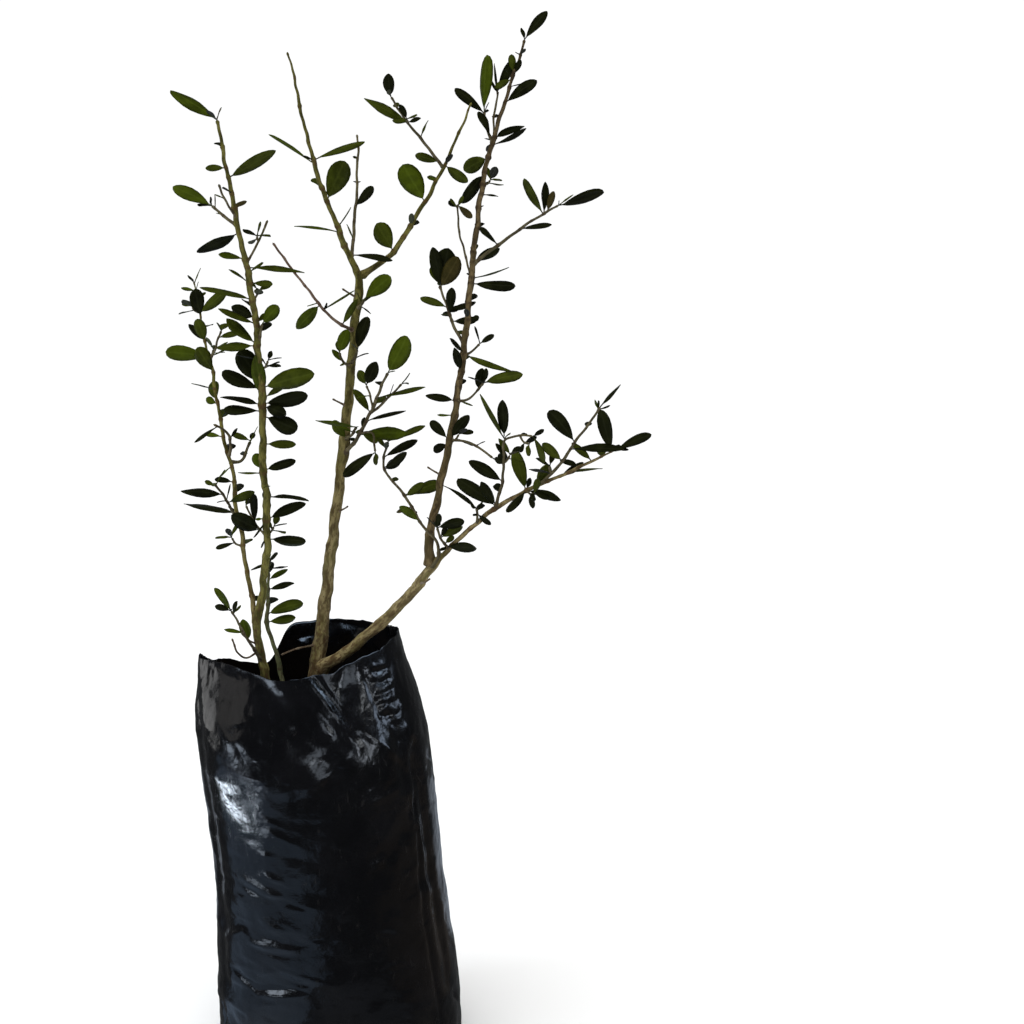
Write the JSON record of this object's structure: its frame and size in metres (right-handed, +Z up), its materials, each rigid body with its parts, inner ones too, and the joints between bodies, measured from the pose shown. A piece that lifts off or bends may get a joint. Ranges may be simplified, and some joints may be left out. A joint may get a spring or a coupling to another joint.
{
  "type": "potted olive tree sapling",
  "caption": "Young olive with several slender stems and sparse small leaves, planted in a tall soft black nursery bag filled with soil.",
  "frame": {"origin": "middle of the bag's flat underside, on the ground", "axes": "+Z up along the plant, +X to the right and -Y towards the viewer of the front"},
  "size_m": [0.338, 0.2264, 0.7402],
  "materials": {
    "film": "gloss",
    "soil": "rough",
    "bark": "rough",
    "leaf": "satin"
  },
  "bodies": {
    "root": {"grow_bag": "film", "soil": "soil", "trunk": "bark", "left_stem": "bark", "left_green_shoot": "bark", "right_bough": "bark", "right_upright_stem": "bark", "right_spreading_bough": "bark", "left_side_stem": "bark", "upper_left_limb": "bark", "upper_right_limb": "bark", "left_foot_spray": "leaf", "left_stem_lower_foliage": "leaf", "left_stem_middle_foliage": "leaf", "left_stem_upper_foliage": "leaf", "left_stem_top_foliage": "leaf", "left_side_lower_foliage": "leaf", "left_side_middle_foliage": "leaf", "left_side_top_foliage": "leaf", "green_shoot_foliage": "leaf", "trunk_knot_spur": "leaf", "trunk_side_spray": "leaf", "trunk_left_spur": "leaf", "trunk_right_spur": "leaf", "trunk_fork_spur": "leaf", "bare_left_twig": "leaf", "upper_left_foliage": "leaf", "upper_middle_foliage": "leaf", "upper_right_foliage": "leaf", "bough_foot_cluster": "leaf", "back_branch_foliage": "leaf", "upright_lower_foliage": "leaf", "upright_middle_foliage": "leaf", "right_side_branch": "leaf", "upright_upper_foliage": "leaf", "upright_top_foliage": "leaf", "spreading_foot_foliage": "leaf", "spreading_inner_foliage": "leaf", "spreading_middle_foliage": "leaf", "spreading_upper_foliage": "leaf", "spreading_tip_foliage": "leaf"}
  },
  "joints": []
}
